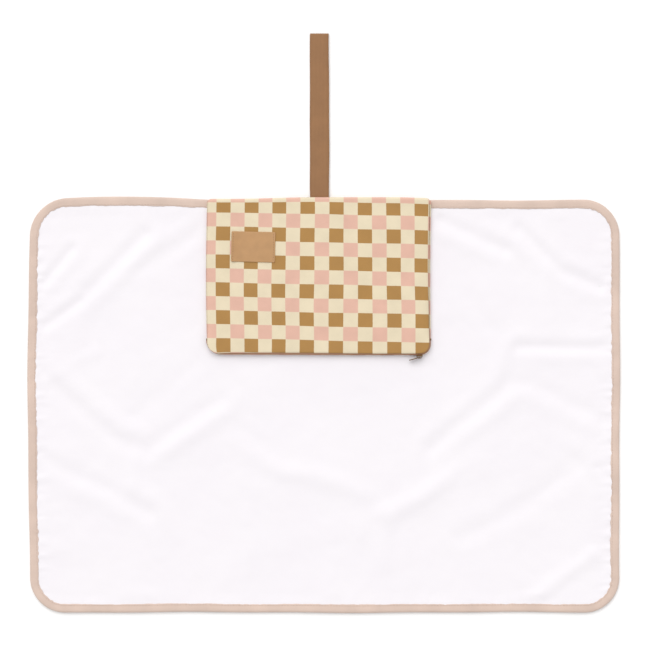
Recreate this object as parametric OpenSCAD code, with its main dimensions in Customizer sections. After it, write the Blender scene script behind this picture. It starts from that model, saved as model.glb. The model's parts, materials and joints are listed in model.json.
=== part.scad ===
// Travel changing pad, lying open.
// A thin padded mat is edged with folded binding. A flat zipped pouch is hinged to the top edge
// of the mat and lies on it, and a doubled elastic loop at the same edge holds the folded pad shut.
// The two side flaps fold over the middle.
// Origin: the underside of the mat, at its centre. +X right, +Y towards the pouch edge, +Z up.

/* [Mat] */
// Width of the open mat, from side to side
mat_w = 700; // [660:10:760]
// Length of the open mat, without the elastic loop
mat_l = 490; // [440:10:540]
// Radius of the mat's four corners
mat_corner_r = 42; // [24:2:60]
// Thickness of the top cloth and of the back cloth
cloth_t = 0.5; // [0.4:0.1:0.6]
// Thickness of the wadding between them
wadding_t = 3; // [2.6:0.2:4]
// Width of the binding on each face
binding_w = 10; // [8:1:14]
// Thickness of the binding tape
binding_t = 0.5; // [0.4:0.1:0.6]

/* [Pouch] */
// Width of the pouch
pouch_w = 264; // [240:4:276]
// Length of the pouch, from its hinge to its zip
pouch_l = 183; // [150:1:200]
// Height of the flat, empty pouch
pouch_h = 6; // [6:0.2:7]
// Sideways place of the middle of the pouch
pouch_x = -7.5; // [-15:0.5:5]
// Radius of the corner where the zip starts
pouch_start_r = 16; // [12:1:20]
// Radius of the corner where the zip ends
pouch_end_r = 8; // [6:1:8]

/* [Label] */
// Width of the leather label
label_w = 52; // [40:1:60]
// Height of the leather label
label_h = 36; // [28:1:44]
// Thickness of the leather
label_t = 1.2; // [0.8:0.2:1.6]

/* [Elastic loop] */
// Width of the elastic
strap_w = 22; // [16:1:26]
// Free length of the doubled loop
strap_l = 197; // [150:1:220]
// Thickness of one layer of elastic
strap_t = 1.1; // [0.8:0.1:1.1]

/* [Zip] */
// Length of the slider
slider_l = 8; // [7:0.5:8]
// Length of the pull tab, from its pivot to its tip
tab_l = 14; // [10:1:16]
// Angle at which the pull tab stands off the zip
tab_angle = 15; // [15:1:40]

/* [Hidden] */
$fn = 64;

// Heights of the mat's layers
back_top_z = cloth_t;
wadding_top_z = cloth_t + wadding_t;
mat_h = wadding_top_z + cloth_t;
bound_h = mat_h + binding_t;

// Pouch: places and heights
strip_t = 0.4;
soft_gap = 0.3;
panel_t = 0.6;
lining_t = 0.5;
pouch_z0 = bound_h + strip_t + soft_gap;
pouch_z1 = pouch_z0 + pouch_h;
pouch_zc = pouch_z0 + pouch_h / 2;
pouch_x0 = pouch_x - pouch_w / 2;
pouch_x1 = pouch_x + pouch_w / 2;
pouch_y1 = mat_l / 2;
pouch_y0 = pouch_y1 - pouch_l;
inside_z0 = pouch_z0 + panel_t + lining_t;
inside_z1 = pouch_z1 - panel_t - lining_t;
seam_w = 2.5;

// Fold lines of the side flaps, just outside the pouch
fold_clear = 6.5;
fold_slit = 0.4;
fold_x0 = pouch_x0 - fold_clear;
fold_x1 = pouch_x1 + fold_clear;

// Zip: two tapes stand on edge round the pouch's open end, each with a row of coil on its outside
zip_end_y = pouch_y0 + pouch_start_r;
tape_t = 0.6;
coil_t = 1.5;
coil_h = 0.9;
row_gap = 1;
stop_l = 2.4;

// Slider and pull tab
plate_t = 1;
run_gap = 0.3;
slider_w = 5.2;
inner_plate_w = inside_z1 - inside_z0 - 2 * run_gap;
divider_t = 0.4;
slider_park = 0.5;
slider_x = pouch_x1 - pouch_end_r - slider_l / 2 - slider_park;
outer_plate_y = pouch_y0 - coil_t - run_gap - plate_t;
inner_plate_y = pouch_y0 + tape_t + run_gap;
lip_t = 0.5;
lip_h = 0.5;
divider_l = 3;
bridge_w = 1.4;
bridge_l = 6;
bridge_bar = 0.7;
bridge_gap = 2;
tab_x = slider_x + 1.2;
tab_y = outer_plate_y - bridge_gap / 2;
tab_t = 1.1;
tab_w = 5;
tab_pin_r = 0.55;
tab_eye_l = 5;
tab_arm_w = 1.2;
tab_join = 0.5;
tab_hole_r = 0.9;

// Label: place, tilt and stitches
label_x = -85;
label_y = 189;
label_tilt = -1.3;
label_corner_r = 1.5;
stitch_l = 2.2;
stitch_w = 0.5;
stitch_h = 0.25;
stitch_pitch = 3.2;
stitch_count = 10;
stitch_inset = 2;

// Elastic loop: place and layers
strap_x = -6.5;
strap_y0 = mat_l / 2 + 1;
strap_z0 = 0.2;
strap_layer_gap = 0.4;
strap_h = 2 * strap_t + strap_layer_gap;
anchor_y0 = mat_l / 2 - binding_w + 0.8;
anchor_y1 = strap_y0 - soft_gap;
anchor_z0 = 2 * cloth_t + 0.15;
slot_gap = 0.2;

// ---- Outlines ----

// Rounded rectangle of the mat, drawn in by inset on every side
module mat_outline(inset = 0) {
    w = mat_w - 2 * inset;
    l = mat_l - 2 * inset;
    r = mat_corner_r - inset;
    square([w - 2 * r, l], center = true);
    square([w, l - 2 * r], center = true);
    for (sx = [-1, 1], sy = [-1, 1])
        translate([sx * (w / 2 - r), sy * (l / 2 - r)])
            circle(r);
}

// Plate of the mat's outline between two heights
module mat_slab(inset, z0, z1) {
    translate([0, 0, z0])
        linear_extrude(z1 - z0)
            mat_outline(inset);
}

// Outline of the pouch, grown by grow at the zip end and at both sides
module pouch_outline(grow = 0) {
    x0 = pouch_x0 - grow;
    x1 = pouch_x1 + grow;
    y0 = pouch_y0 - grow;
    r0 = pouch_start_r + grow;
    r1 = pouch_end_r + grow;
    translate([x0 + r0, y0])
        square([x1 - x0 - r0 - r1, pouch_y1 - y0]);
    translate([x0, y0 + r0])
        square([pouch_w / 2, pouch_y1 - y0 - r0]);
    translate([pouch_x, y0 + r1])
        square([x1 - pouch_x, pouch_y1 - y0 - r1]);
    translate([x0 + r0, y0 + r0])
        circle(r0);
    translate([x1 - r1, y0 + r1])
        circle(r1);
}

// Plate of the pouch's outline between two heights
module pouch_slab(grow, z0, z1) {
    translate([0, 0, z0])
        linear_extrude(z1 - z0)
            pouch_outline(grow);
}

// ---- Dividing the mat into its middle and its two flaps ----

// Block that holds one part of the mat: -1 the left flap, 0 the middle, 1 the right flap
module part_block(side) {
    left = side == -1 ? -mat_w : side == 0 ? fold_x0 + fold_slit / 2 : fold_x1 + fold_slit / 2;
    right = side == -1 ? fold_x0 - fold_slit / 2 : side == 0 ? fold_x1 - fold_slit / 2 : mat_w;
    translate([left, -mat_l, -1])
        cube([right - left, 2 * mat_l, bound_h + 2]);
}

// ---- Mat ----

// Top cloth, which runs under the binding at every edge
module mat_top_cloth(side) {
    color("#fbf7f9")
        intersection() {
            mat_slab(binding_t, wadding_top_z, mat_h);
            part_block(side);
        }
}

// Wadding, thinned where the binding grips it, with room for the ends of the elastic
module mat_wadding(side) {
    color("#ffffff")
        intersection() {
            difference() {
                mat_slab(binding_t, back_top_z, wadding_top_z);
                difference() {
                    mat_slab(0, 0, 2 * cloth_t);
                    mat_slab(binding_w + cloth_t, -1, 2 * cloth_t + 1);
                }
                translate([strap_x - strap_w / 2 - slot_gap, anchor_y0 - slot_gap, 0])
                    cube([strap_w + 2 * slot_gap, mat_l, mat_h]);
            }
            part_block(side);
        }
}

// Back cloth: it lies flat on the ground and steps up over the lower edge of the binding
module mat_back_cloth(side) {
    color("#e9ddbe")
        intersection() {
            union() {
                mat_slab(binding_w, 0, cloth_t);
                difference() {
                    mat_slab(binding_t, cloth_t, 2 * cloth_t);
                    mat_slab(binding_w + cloth_t, 0, mat_h);
                }
            }
            part_block(side);
        }
}

// Binding folded round the edge of the mat, with a slot where the elastic comes out
module binding_ring() {
    difference() {
        mat_slab(0, 0, bound_h);
        mat_slab(binding_t, binding_t, mat_h);
        mat_slab(binding_w, -1, binding_t + 0.01);
        mat_slab(binding_w, mat_h - 0.01, bound_h + 1);
        translate([strap_x - strap_w / 2 - slot_gap, mat_l / 2 - 1, anchor_z0 - slot_gap / 2])
            cube([strap_w + 2 * slot_gap, 2, 2 * strap_t + slot_gap]);
    }
}

// Straight length of binding along the top (1) or the bottom (-1) edge of the middle
module binding_straight(end) {
    color("#e2c8b8")
        intersection() {
            binding_ring();
            part_block(0);
            translate([-mat_w, end == 1 ? 0 : -mat_l, -1])
                cube([2 * mat_w, mat_l, bound_h + 2]);
        }
}

// Binding round three sides of a flap
module binding_flap(side) {
    color("#e2c8b8")
        intersection() {
            binding_ring();
            part_block(side);
        }
}

// ---- Pouch ----

// Strip of cloth sewn along the top binding, from which the pouch hinges
module pouch_hinge_strip() {
    color("#e5b7a8")
        translate([pouch_x0 + seam_w, pouch_y1 - binding_w + 1, bound_h])
            cube([pouch_w - 2 * seam_w, binding_w - 1.5, strip_t]);
}

// Rolled top edge, where the cloth of the front turns down to the back
module pouch_top_fold() {
    color("#e5b7a8")
        translate([pouch_x0, pouch_y1, pouch_zc])
            rotate([0, 90, 0])
                difference() {
                    cylinder(r = pouch_h / 2, h = pouch_w);
                    translate([0, 0, -1])
                        cylinder(r = pouch_h / 2 - panel_t, h = pouch_w + 2);
                    translate([-pouch_h, -2 * pouch_h, -1])
                        cube([2 * pouch_h, 2 * pouch_h, pouch_w + 2]);
                }
}

// Outer check cloth
module pouch_front_panel() {
    color("#b28a52")
        pouch_slab(0, pouch_z1 - panel_t, pouch_z1);
}

module pouch_back_panel() {
    color("#b28a52")
        pouch_slab(0, pouch_z0, pouch_z0 + panel_t);
}

// Linings, inside the check cloth
module pouch_front_lining() {
    color("#efe6d2")
        pouch_slab(0, inside_z1, pouch_z1 - panel_t);
}

module pouch_back_lining() {
    color("#efe6d2")
        pouch_slab(0, pouch_z0 + panel_t, inside_z0);
}

// Turned side seam, from the end of the zip to the hinge
module pouch_side_seam(x) {
    color("#d9c9a6")
        translate([x, zip_end_y, inside_z0])
            cube([seam_w, pouch_y1 - zip_end_y, inside_z1 - inside_z0]);
}

// ---- Zip ----

// Upright band that follows the pouch's outline round its open end
module zip_band(inner, outer, z0, z1) {
    intersection() {
        difference() {
            pouch_slab(outer, z0, z1);
            pouch_slab(inner, z0 - 1, z1 + 1);
        }
        translate([pouch_x0 - pouch_w, pouch_y0 - pouch_l, z0])
            cube([3 * pouch_w, pouch_l + pouch_start_r, z1 - z0]);
    }
}

module zip_tape_front() {
    color("#b98a66")
        zip_band(-tape_t, 0, pouch_zc + row_gap / 2, inside_z1);
}

module zip_tape_back() {
    color("#b98a66")
        zip_band(-tape_t, 0, inside_z0, pouch_zc - row_gap / 2);
}

module zip_coil_front() {
    color("#8a6248")
        zip_band(0, coil_t, pouch_zc + row_gap / 2, pouch_zc + row_gap / 2 + coil_h);
}

module zip_coil_back() {
    color("#8a6248")
        zip_band(0, coil_t, pouch_zc - row_gap / 2 - coil_h, pouch_zc - row_gap / 2);
}

// Stop that clips both rows together where the zip starts
module zip_bottom_stop() {
    color("#6e5138")
        translate([pouch_x0 - coil_t, zip_end_y, pouch_zc - row_gap / 2 - coil_h])
            cube([coil_t, stop_l, row_gap + 2 * coil_h]);
}

// Two stops, one on each row, where the zip ends
module zip_top_stops() {
    color("#6e5138")
        for (z = [pouch_zc + row_gap / 2, pouch_zc - row_gap / 2 - coil_h])
            translate([pouch_x1, zip_end_y, z])
                cube([coil_t, stop_l, coil_h]);
}

// Slider: two plates joined by the divider that parts the rows, and the bridge for the pull tab
module zip_slider() {
    color("#6b4a2c")
        union() {
            translate([slider_x - slider_l / 2, outer_plate_y, pouch_zc - slider_w / 2])
                cube([slider_l, plate_t, slider_w]);
            for (s = [-1, 1])
                translate([slider_x - slider_l / 2, outer_plate_y, pouch_zc + s * slider_w / 2 - lip_t / 2])
                    cube([slider_l, plate_t + lip_h, lip_t]);
            translate([slider_x - slider_l / 2, inner_plate_y, pouch_zc - inner_plate_w / 2])
                cube([slider_l, plate_t, inner_plate_w]);
            translate([slider_x + slider_l / 2 - divider_l, outer_plate_y, pouch_zc - divider_t / 2])
                cube([divider_l, inner_plate_y - outer_plate_y + plate_t, divider_t]);
            zip_bridge();
        }
}

// Arch on the outer plate, closed at both ends
module zip_bridge() {
    bridge_h = bridge_gap + bridge_bar;
    translate([slider_x - bridge_l / 2, outer_plate_y - bridge_h, pouch_zc - bridge_w / 2])
        difference() {
            cube([bridge_l, bridge_h + plate_t / 2, bridge_w]);
            translate([bridge_bar, bridge_bar, -1])
                cube([bridge_l - 2 * bridge_bar, bridge_gap, bridge_w + 2]);
        }
}

// Pull tab: a pin under the bridge, two arms past it, and a flat tongue with a hole
module zip_pull_tab() {
    color("#7a5a34")
        translate([tab_x, tab_y, pouch_zc])
            rotate([0, 0, tab_angle])
                union() {
                    translate([0, 0, -tab_w / 2])
                        cylinder(r = tab_pin_r, h = tab_w);
                    for (z = [-tab_w / 2, tab_w / 2 - tab_arm_w])
                        translate([-tab_eye_l - tab_join, -tab_t / 2, z])
                            cube([tab_eye_l + tab_join, tab_t, tab_arm_w]);
                    tab_tongue();
                }
}

module tab_tongue() {
    end_x = tab_w / 2 - tab_l;
    rotate([90, 0, 0])
        translate([0, 0, -tab_t / 2])
            difference() {
                union() {
                    translate([end_x, -tab_w / 2, 0])
                        cube([-tab_eye_l - end_x, tab_w, tab_t]);
                    translate([end_x, 0, 0])
                        cylinder(r = tab_w / 2, h = tab_t);
                }
                translate([end_x, 0, -1])
                    cylinder(r = tab_hole_r, h = tab_t + 2);
            }
}

// ---- Label ----

module label_place() {
    translate([label_x, label_y, pouch_z1])
        rotate([0, 0, label_tilt])
            children();
}

module label_patch() {
    w = label_w - 2 * label_corner_r;
    h = label_h - 2 * label_corner_r;
    color("#c59c70")
        label_place()
            linear_extrude(label_t)
                union() {
                    square([label_w, h], center = true);
                    square([w, label_h], center = true);
                    for (sx = [-1, 1], sy = [-1, 1])
                        translate([sx * w / 2, sy * h / 2])
                            circle(label_corner_r);
                }
}

// Stitches along both short ends of the label
module label_stitches() {
    color("#8f6b45")
        label_place()
            for (sx = [-1, 1], i = [0 : stitch_count - 1])
                translate([
                    sx * (label_w / 2 - stitch_inset) - stitch_w / 2,
                    (i - (stitch_count - 1) / 2) * stitch_pitch - stitch_l / 2,
                    label_t
                ])
                    cube([stitch_w, stitch_l, stitch_h]);
}

// ---- Elastic loop ----

// Ends of the elastic, laid together and sewn inside the top binding
module strap_anchor() {
    color("#a07852")
        translate([strap_x - strap_w / 2, anchor_y0, anchor_z0])
            cube([strap_w, anchor_y1 - anchor_y0, 2 * strap_t]);
}

// Free loop: two flat layers joined by a tight turn at the far end
module strap_loop() {
    turn_r = strap_h / 2;
    turn_y = strap_y0 + strap_l - turn_r;
    color("#a07852")
        translate([strap_x - strap_w / 2, 0, 0])
            difference() {
                union() {
                    translate([0, strap_y0, strap_z0])
                        cube([strap_w, turn_y - strap_y0, strap_h]);
                    translate([0, turn_y, strap_z0 + turn_r])
                        rotate([0, 90, 0])
                            cylinder(r = turn_r, h = strap_w);
                }
                translate([-1, strap_y0 - 1, strap_z0 + strap_t])
                    cube([strap_w + 2, turn_y - strap_y0 + 1, strap_layer_gap]);
                translate([-1, turn_y, strap_z0 + turn_r])
                    rotate([0, 90, 0])
                        cylinder(r = strap_layer_gap / 2, h = strap_w + 2);
            }
}

// ---- Nodes ----

mat_top_cloth(0);  // mat_top_cloth_centre
mat_top_cloth(-1);  // mat_top_cloth_left
mat_top_cloth(1);  // mat_top_cloth_right
mat_wadding(0);  // mat_wadding_centre
mat_wadding(-1);  // mat_wadding_left
mat_wadding(1);  // mat_wadding_right
mat_back_cloth(0);  // mat_back_cloth_centre
mat_back_cloth(-1);  // mat_back_cloth_left
mat_back_cloth(1);  // mat_back_cloth_right
binding_straight(1);  // binding_top_centre
binding_straight(-1);  // binding_bottom_centre
binding_flap(-1);  // binding_left
binding_flap(1);  // binding_right
pouch_hinge_strip();
pouch_top_fold();
pouch_front_panel();
pouch_front_lining();
pouch_back_panel();
pouch_back_lining();
pouch_side_seam(pouch_x0);  // pouch_left_seam
pouch_side_seam(pouch_x1 - seam_w);  // pouch_right_seam
zip_tape_front();
zip_tape_back();
zip_coil_front();
zip_coil_back();
zip_bottom_stop();
zip_top_stops();
zip_slider();
zip_pull_tab();
label_patch();
label_stitches();
strap_anchor();
strap_loop();
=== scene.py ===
"""Looks of a travel changing pad that lies open: a thin padded mat with a bound edge, a flat zipped
pouch hinged to its top edge, and a doubled elastic loop. The main places and sizes come from the frame."""
import json
import math

import bpy
import bmesh
import numpy as np
from mathutils import Matrix, Vector, noise


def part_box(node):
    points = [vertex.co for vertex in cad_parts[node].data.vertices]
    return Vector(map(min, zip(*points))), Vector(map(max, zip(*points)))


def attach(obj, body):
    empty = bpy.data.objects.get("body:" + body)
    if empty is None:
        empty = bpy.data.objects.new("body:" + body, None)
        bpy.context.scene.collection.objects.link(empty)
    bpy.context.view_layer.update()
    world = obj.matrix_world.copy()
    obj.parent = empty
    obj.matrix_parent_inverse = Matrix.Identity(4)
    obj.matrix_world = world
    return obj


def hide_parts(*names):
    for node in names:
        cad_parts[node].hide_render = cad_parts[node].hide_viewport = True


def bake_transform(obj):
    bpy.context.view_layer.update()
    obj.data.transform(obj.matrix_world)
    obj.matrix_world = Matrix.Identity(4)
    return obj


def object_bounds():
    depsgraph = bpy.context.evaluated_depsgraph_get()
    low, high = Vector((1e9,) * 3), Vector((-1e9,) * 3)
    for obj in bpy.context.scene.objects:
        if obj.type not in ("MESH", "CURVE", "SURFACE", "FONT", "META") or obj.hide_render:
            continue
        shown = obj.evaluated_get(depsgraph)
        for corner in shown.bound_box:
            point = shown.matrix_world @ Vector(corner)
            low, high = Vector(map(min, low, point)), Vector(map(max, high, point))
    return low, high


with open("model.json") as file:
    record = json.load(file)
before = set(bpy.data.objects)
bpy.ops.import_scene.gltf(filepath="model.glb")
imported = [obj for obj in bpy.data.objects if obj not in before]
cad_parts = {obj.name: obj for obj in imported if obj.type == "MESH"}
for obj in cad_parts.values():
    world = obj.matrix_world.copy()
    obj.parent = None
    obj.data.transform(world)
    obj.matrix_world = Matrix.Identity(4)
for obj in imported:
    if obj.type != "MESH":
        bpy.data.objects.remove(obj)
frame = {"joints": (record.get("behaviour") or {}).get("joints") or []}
cad_box = [list(corner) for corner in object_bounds()]

MM = 0.001
TINY = 1e-6


# ---- The frame's places and sizes ----

def joint(name):
    """The frame's joint of that name."""
    return next(j for j in frame["joints"] if j["name"] == name)


HALF_W, HALF_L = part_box("binding_right")[1][:2]
BOUND_LO, BOUND_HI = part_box("binding_top_centre")
BOUND_Z = BOUND_HI[2]
LAP = BOUND_HI[1] - BOUND_LO[1]
CLOTH_LO, CLOTH_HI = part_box("mat_top_cloth_centre")
CLOTH_Z = CLOTH_HI[2]
CLOTH_T = CLOTH_HI[2] - CLOTH_LO[2]
CLOTH_MIDDLE_Z = CLOTH_Z - CLOTH_T / 2
CORNER_R = 42 * MM

LEFT_AXIS = joint("left_fold")["pos_m"]
RIGHT_AXIS = joint("right_fold")["pos_m"]
BEND_SHARE = 0.9
CUT_L = LEFT_AXIS[0] + BEND_SHARE * LEFT_AXIS[2]
CUT_R = RIGHT_AXIS[0] - BEND_SHARE * RIGHT_AXIS[2]
FLAP_L = 2 * LEFT_AXIS[0] - CUT_L
FLAP_R = 2 * RIGHT_AXIS[0] - CUT_R

POUCH_LO, POUCH_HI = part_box("pouch_front_panel")
POUCH_Z0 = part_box("pouch_back_panel")[0][2]
POUCH_Z1 = POUCH_HI[2]
POUCH_ZC = (POUCH_Z0 + POUCH_Z1) / 2
PANEL_T = POUCH_HI[2] - POUCH_LO[2]
ROLL_R = (POUCH_Z1 - POUCH_Z0) / 2
ZIP_END_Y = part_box("zip_tape_front")[1][1]
START_R = ZIP_END_Y - POUCH_LO[1]
END_R = 12 * MM


# ---- Small tools ----

def smooth(t):
    """Smooth step from 0 to 1."""
    t = np.clip(t, 0, 1)
    return t * t * (3 - 2 * t)


def grid_lines(stops, pitch):
    """Values from the first stop to the last, through every stop, about pitch apart."""
    out = [stops[0]]
    for a, b in zip(stops, stops[1:]):
        n = max(1, round((b - a) / pitch))
        out += [a + (b - a) * k / n for k in range(1, n + 1)]
    return np.array(out)


def fine_ends(low, high, fine, middle, pitch):
    """Grid lines from low to high through the middle ones, with closer ones at both ends."""
    ends = [low + f for f in fine], [high - f for f in fine[::-1]]
    return grid_lines([low, *ends[0], *middle, *ends[1], high], pitch)


def wave_noise(x, y, size, seed):
    """Smooth noise about -1 to 1 at a place or an array of places, with features of about that size."""
    flat = [
        noise.noise(Vector((a / size + seed * 17.3, b / size - seed * 5.1, seed * 3.7)))
        for a, b in zip(np.ravel(x), np.ravel(y))
    ]
    return 1.6 * np.array(flat).reshape(np.shape(x))


def round_corners(x, y, half_w, half_l, r):
    """Moves a rectangle's places so that its four corners become quarter circles of radius r."""
    ax = np.clip((np.abs(x) - (half_w - r)) / r, 0, 1)
    ay = np.clip((np.abs(y) - (half_l - r)) / r, 0, 1)
    nx = ax * np.sqrt(1 - ay**2 / 2)
    ny = ay * np.sqrt(1 - ax**2 / 2)
    out_x = np.where(ax > 0, np.sign(x) * (half_w - r + nx * r), x)
    out_y = np.where(ay > 0, np.sign(y) * (half_l - r + ny * r), y)
    return out_x, out_y


def uneven(x, y):
    """The soft, slightly uneven line in which the mat's edge lies."""
    ex = np.clip(np.abs(x) / HALF_W, 0, 1) ** 4
    ey = np.clip(np.abs(y) / HALF_L, 0, 1) ** 4
    dx = np.sign(x) * ex * (0.5 * np.sin(y / 0.061 + 0.6) + 0.3 * np.sin(y / 0.023)) * MM
    dx -= np.where(x < 0, ex * 3.0 * MM * np.cos(np.clip(y / HALF_L, -1, 1) * math.pi / 2), 0)
    dy = np.sign(y) * ey * (0.5 * np.sin(x / 0.058 + 1.0) + 0.3 * np.sin(x / 0.021)) * MM
    dy += np.where(y > 0, ey * 3.6 * MM * np.exp(-(((x + 0.66 * HALF_W) / 0.085) ** 4)), 0)
    return x + dx, y + dy


def surface_normals(p):
    """Unit normals of a grid of places."""
    du = np.gradient(p, axis=1)
    dv = np.gradient(p, axis=0)
    n = np.cross(du, dv)
    return n / np.maximum(np.linalg.norm(n, axis=2, keepdims=True), 1e-12)


def finer(p, axis):
    """A grid with one more place between each two along axis, on a smooth curve through them."""
    p = np.moveaxis(p, axis, 0)
    padded = np.concatenate([2 * p[:1] - p[1:2], p, 2 * p[-1:] - p[-2:-1]])
    between = (9 * (padded[1:-2] + padded[2:-1]) - padded[:-3] - padded[3:]) / 16
    out = np.empty((2 * len(p) - 1,) + p.shape[1:])
    out[0::2] = p
    out[1::2] = between
    return np.moveaxis(out, 0, axis)


def linked(name, mesh, material):
    """An object of that mesh in the scene, with its material."""
    obj = bpy.data.objects.new(name, mesh)
    bpy.context.scene.collection.objects.link(obj)
    mesh.materials.append(material)
    stem = material.name.split(".")[0]  # Blender numbers a name that the frame already uses
    return obj


def smooth_faces(mesh):
    """Shades the mesh's faces smooth."""
    mesh.polygons.foreach_set("use_smooth", [True] * len(mesh.polygons))


def mesh_object(name, verts, faces, material, uv=None, normals=None):
    """A smooth-shaded object from places and faces, with a UV map in metres where one is given."""
    mesh = bpy.data.meshes.new(name)
    mesh.from_pydata([tuple(v) for v in verts], [], [tuple(f) for f in faces])
    smooth_faces(mesh)
    if uv is not None:
        layer = mesh.uv_layers.new(name="cloth")
        corner = np.empty(len(mesh.loops), np.int32)
        mesh.loops.foreach_get("vertex_index", corner)
        layer.data.foreach_set("uv", np.asarray(uv, np.float32)[corner].ravel())
    mesh.update()
    if normals is not None:
        mesh.normals_split_custom_set_from_vertices([tuple(n) for n in normals])
    return linked(name, mesh, material)


def bmesh_object(name, bm, material):
    """A smooth-shaded object of what bm holds, which is freed."""
    mesh = bpy.data.meshes.new(name)
    bm.to_mesh(mesh)
    bm.free()
    smooth_faces(mesh)
    return linked(name, mesh, material)


def stand_in(piece, body, *nodes):
    """Hides the CAD nodes that the piece stands for, and rides it on its body."""
    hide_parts(*nodes)
    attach(piece, body)


def shell(name, upper, lower, material, uv, normal=None):
    """A closed sheet between two grids of places. normal holds the upper grid's shading normals."""
    rows, cols = upper.shape[:2]
    count = rows * cols
    index = np.arange(count).reshape(rows, cols)
    a, b, c, d = index[:-1, :-1], index[:-1, 1:], index[1:, 1:], index[1:, :-1]
    top = np.stack([a, b, c, d], -1).reshape(-1, 4)
    bottom = np.stack([a, d, c, b], -1).reshape(-1, 4) + count
    rim = np.concatenate([index[0, :-1], index[:-1, -1], index[-1, :0:-1], index[:0:-1, 0]])
    after = np.roll(rim, -1)
    wall = np.stack([rim, rim + count, after + count, after], -1)
    verts = np.concatenate([upper.reshape(-1, 3), lower.reshape(-1, 3)])
    uvs = np.concatenate([uv.reshape(-1, 2)] * 2)
    normals = None
    if normal is not None:
        flat = normal.reshape(-1, 3)
        normals = np.concatenate([flat, -flat])
    return mesh_object(name, verts, np.concatenate([top, bottom, wall]), material, uvs, normals)


def sweep(name, rings, material, uv=None):
    """A closed tube through rings of places, each ring the same number of places round."""
    count, around = rings.shape[:2]
    index = np.arange(count * around).reshape(count, around)
    nxt = np.roll(index, -1, axis=1)
    faces = np.stack([index[:-1], nxt[:-1], nxt[1:], index[1:]], -1).reshape(-1, 4).tolist()
    ends = count * around + np.arange(2 * around)
    faces += [ends[:around][::-1].tolist(), ends[around:].tolist()]
    rings = np.concatenate([rings, rings[:1], rings[-1:]])
    uvs = None if uv is None else np.concatenate([uv, uv[:1], uv[-1:]]).reshape(-1, 2)
    return mesh_object(name, rings.reshape(-1, 3), faces, material, uvs)


def tube(centres, side, up, radii, around=8, start=0.0):
    """Oval rings of places round a line of centres, with their two radii along side and up."""
    turn = (start + np.arange(around) * 2 * math.pi / around)[None, :, None]
    side, up = (np.broadcast_to(way, np.shape(centres))[:, None] for way in (side, up))
    return np.asarray(centres)[:, None] + radii[0] * np.cos(turn) * side + radii[1] * np.sin(turn) * up


# A stitch's places: along it and across it as shares of its half sizes, and which of its three heights
STITCH = ((-1, 0, 0), (-0.6, -1, 1), (-0.6, 1, 1), (0, 0, 2), (0.6, -1, 1), (0.6, 1, 1), (1, 0, 0))
STITCH_FACES = ((0, 1, 3), (0, 3, 2), (1, 4, 3), (2, 3, 5), (3, 4, 6), (3, 6, 5), (0, 2, 5, 6, 4, 1))


def stitch_faces(base, turned=False):
    """Faces of the stitch whose places start at base, turned where its width runs to the other side."""
    faces = [face[:1] + face[:0:-1] for face in STITCH_FACES] if turned else STITCH_FACES
    return [tuple(base + i for i in face) for face in faces]


# ---- Materials ----

EXPOSED = 0.86  # share of a colour's brightness that makes up for the studio's light


def colour(r, g, b):
    """Linear colour of a cloth that the studio's light shows as these 8-bit sRGB values."""
    def linear(v):
        v /= 255
        return v / 12.92 if v <= 0.04045 else ((v + 0.055) / 1.055) ** 2.4
    return (*(EXPOSED * linear(v) for v in (r, g, b)), 1)


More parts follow.
